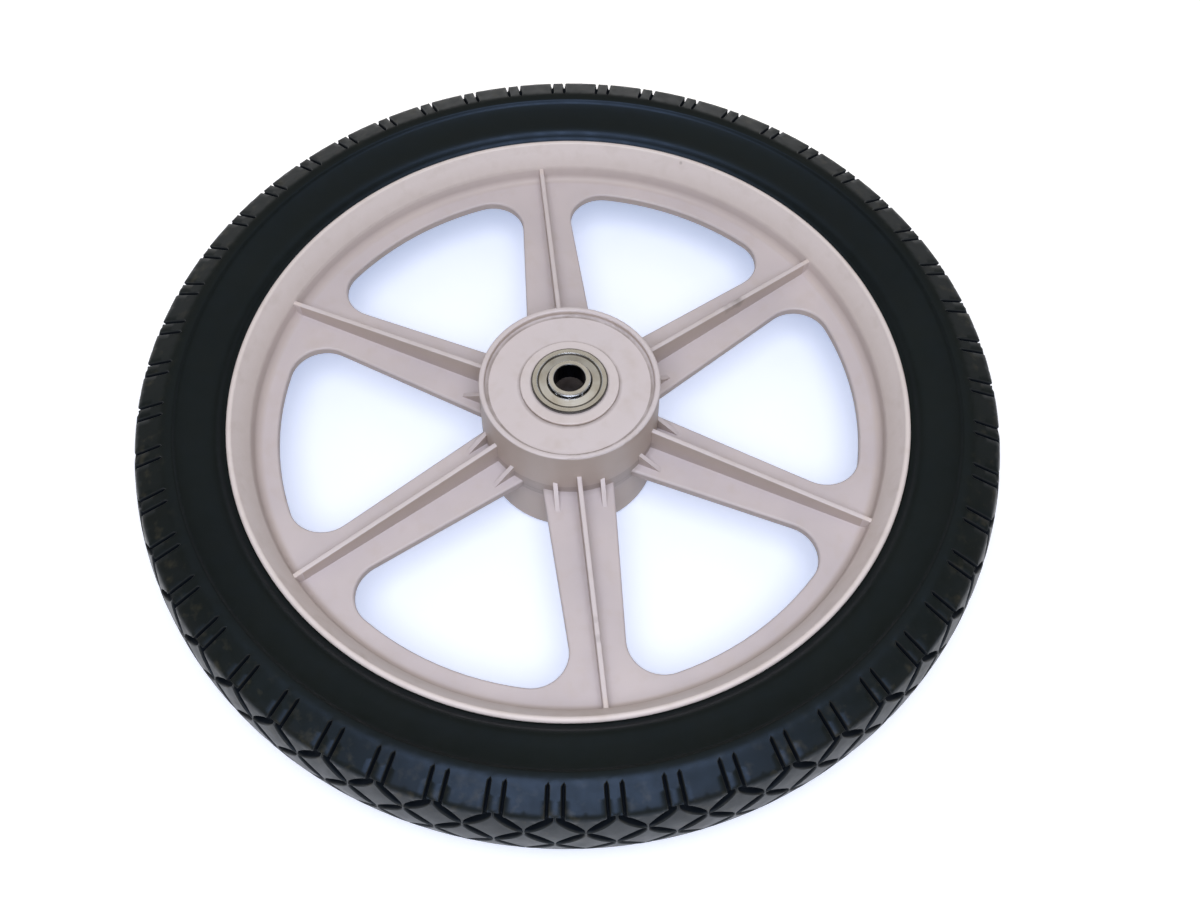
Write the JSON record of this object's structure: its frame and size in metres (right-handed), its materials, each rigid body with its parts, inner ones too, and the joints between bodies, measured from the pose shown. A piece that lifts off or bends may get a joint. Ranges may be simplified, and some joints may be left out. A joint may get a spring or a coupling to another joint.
{
  "type": "lawn mower wheel",
  "caption": "Spoked plastic wheel with a treaded rubber tyre and a flanged ball bearing in each end of its hub, for a walk-behind mower's axle.",
  "frame": {"origin": "centre of the hub, on the wheel's axis, midway between the bearings' outer ends", "axes": "+Z along the wheel's axis towards the closed hub face; X and Y in the wheel's mid-plane"},
  "size_m": [0.3556, 0.3556, 0.0604],
  "materials": {
    "moulded_plastic": "satin",
    "tyre_rubber": "matt, moulded",
    "bearing_steel": "zinc plated",
    "sheet_steel": "zinc plated",
    "ball_steel": "polished"
  },
  "bodies": {
    "wheel": {"wheel_moulding": "moulded_plastic", "tyre": "tyre_rubber", "front_outer_ring": "bearing_steel", "front_outer_shield": "sheet_steel", "front_inner_shield": "sheet_steel", "back_outer_ring": "bearing_steel", "back_outer_shield": "sheet_steel", "back_inner_shield": "sheet_steel"},
    "front_inner_ring": {"front_inner_ring": "bearing_steel"},
    "front_ball_set": {"front_ball_cage": "sheet_steel", "front_ball_1": "ball_steel", "front_ball_2": "ball_steel", "front_ball_3": "ball_steel", "front_ball_4": "ball_steel", "front_ball_5": "ball_steel", "front_ball_6": "ball_steel", "front_ball_7": "ball_steel", "front_ball_8": "ball_steel"},
    "back_inner_ring": {"back_inner_ring": "bearing_steel"},
    "back_ball_set": {"back_ball_cage": "sheet_steel", "back_ball_1": "ball_steel", "back_ball_2": "ball_steel", "back_ball_3": "ball_steel", "back_ball_4": "ball_steel", "back_ball_5": "ball_steel", "back_ball_6": "ball_steel", "back_ball_7": "ball_steel", "back_ball_8": "ball_steel"}
  },
  "joints": [
    {"name": "front_inner_ring_spin", "type": "hinge", "parent": "wheel", "child": "front_inner_ring", "pos_m": [0, 0, 0.02461], "axis": [0, 0, 1], "continuous": true},
    {"name": "front_ball_set_spin", "type": "hinge", "parent": "wheel", "child": "front_ball_set", "pos_m": [0, 0, 0.02461], "axis": [0, 0, 1], "continuous": true},
    {"name": "back_inner_ring_spin", "type": "hinge", "parent": "wheel", "child": "back_inner_ring", "pos_m": [0, 0, -0.02461], "axis": [0, 0, 1], "continuous": true},
    {"name": "back_ball_set_spin", "type": "hinge", "parent": "wheel", "child": "back_ball_set", "pos_m": [0, 0, -0.02461], "axis": [0, 0, 1], "continuous": true}
  ],
  "couplings": [
    {"joint": "front_ball_set_spin", "follows": "front_inner_ring_spin", "ratio": 0.38469},
    {"joint": "back_ball_set_spin", "follows": "back_inner_ring_spin", "ratio": 0.38469}
  ]
}
